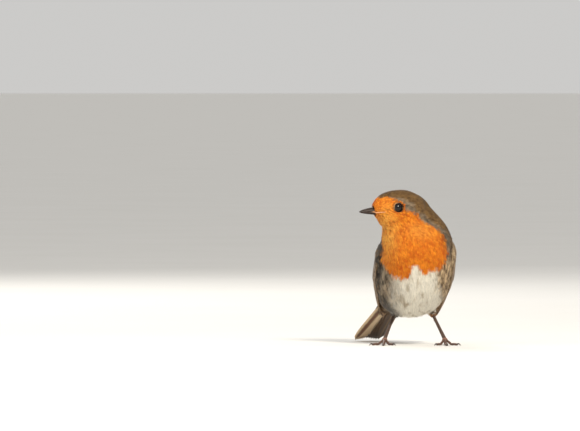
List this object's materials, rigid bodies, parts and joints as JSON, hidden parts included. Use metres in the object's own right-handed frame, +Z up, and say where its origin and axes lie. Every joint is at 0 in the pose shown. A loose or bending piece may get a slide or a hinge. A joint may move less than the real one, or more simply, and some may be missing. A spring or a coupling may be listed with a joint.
{
  "type": "european robin",
  "caption": "Small round songbird with an orange face and breast, standing with its legs apart, its head turned to its right and its tail lowered.",
  "frame": {"origin": "centre of the bounding box, on the ground plane that the toes stand on", "axes": "+Z up, breast towards -Y, the bird's left side towards +X; the head is turned towards -X and the tail runs towards +Y and -X"},
  "size_m": [0.0656, 0.1076, 0.0954],
  "materials": {
    "face_feathers": "matt, short orange plumage",
    "breast_feathers": "matt, loose orange plumage",
    "belly_feathers": "matt, loose white plumage",
    "back_feathers": "matt olive-brown plumage",
    "flight_feathers": "satin brown vanes with paler edges",
    "leg": "scaly dark pinkish-brown skin",
    "claw": "dark horn",
    "bill": "dark horn with a soft sheen",
    "eye": "wet black"
  },
  "bodies": {
    "root": {"head": "face_feathers", "neck": "breast_feathers", "breast": "breast_feathers", "belly": "belly_feathers", "mantle": "back_feathers", "rump": "back_feathers", "bill_upper": "bill", "bill_lower": "bill", "tail": "flight_feathers", "eye_left": "eye", "wing_left_coverts": "back_feathers", "wing_left_secondaries": "flight_feathers", "wing_left_primaries": "flight_feathers", "thigh_left": "belly_feathers", "tarsus_left": "leg", "foot_left": "leg", "toe_left_hind": "leg", "claw_left_hind": "claw", "toe_left_middle": "leg", "claw_left_middle": "claw", "toe_left_inner": "leg", "claw_left_inner": "claw", "toe_left_outer": "leg", "claw_left_outer": "claw", "eye_right": "eye", "wing_right_coverts": "back_feathers", "wing_right_secondaries": "flight_feathers", "wing_right_primaries": "flight_feathers", "thigh_right": "belly_feathers", "tarsus_right": "leg", "foot_right": "leg", "toe_right_hind": "leg", "claw_right_hind": "claw", "toe_right_middle": "leg", "claw_right_middle": "claw", "toe_right_inner": "leg", "claw_right_inner": "claw", "toe_right_outer": "leg", "claw_right_outer": "claw"}
  },
  "joints": []
}
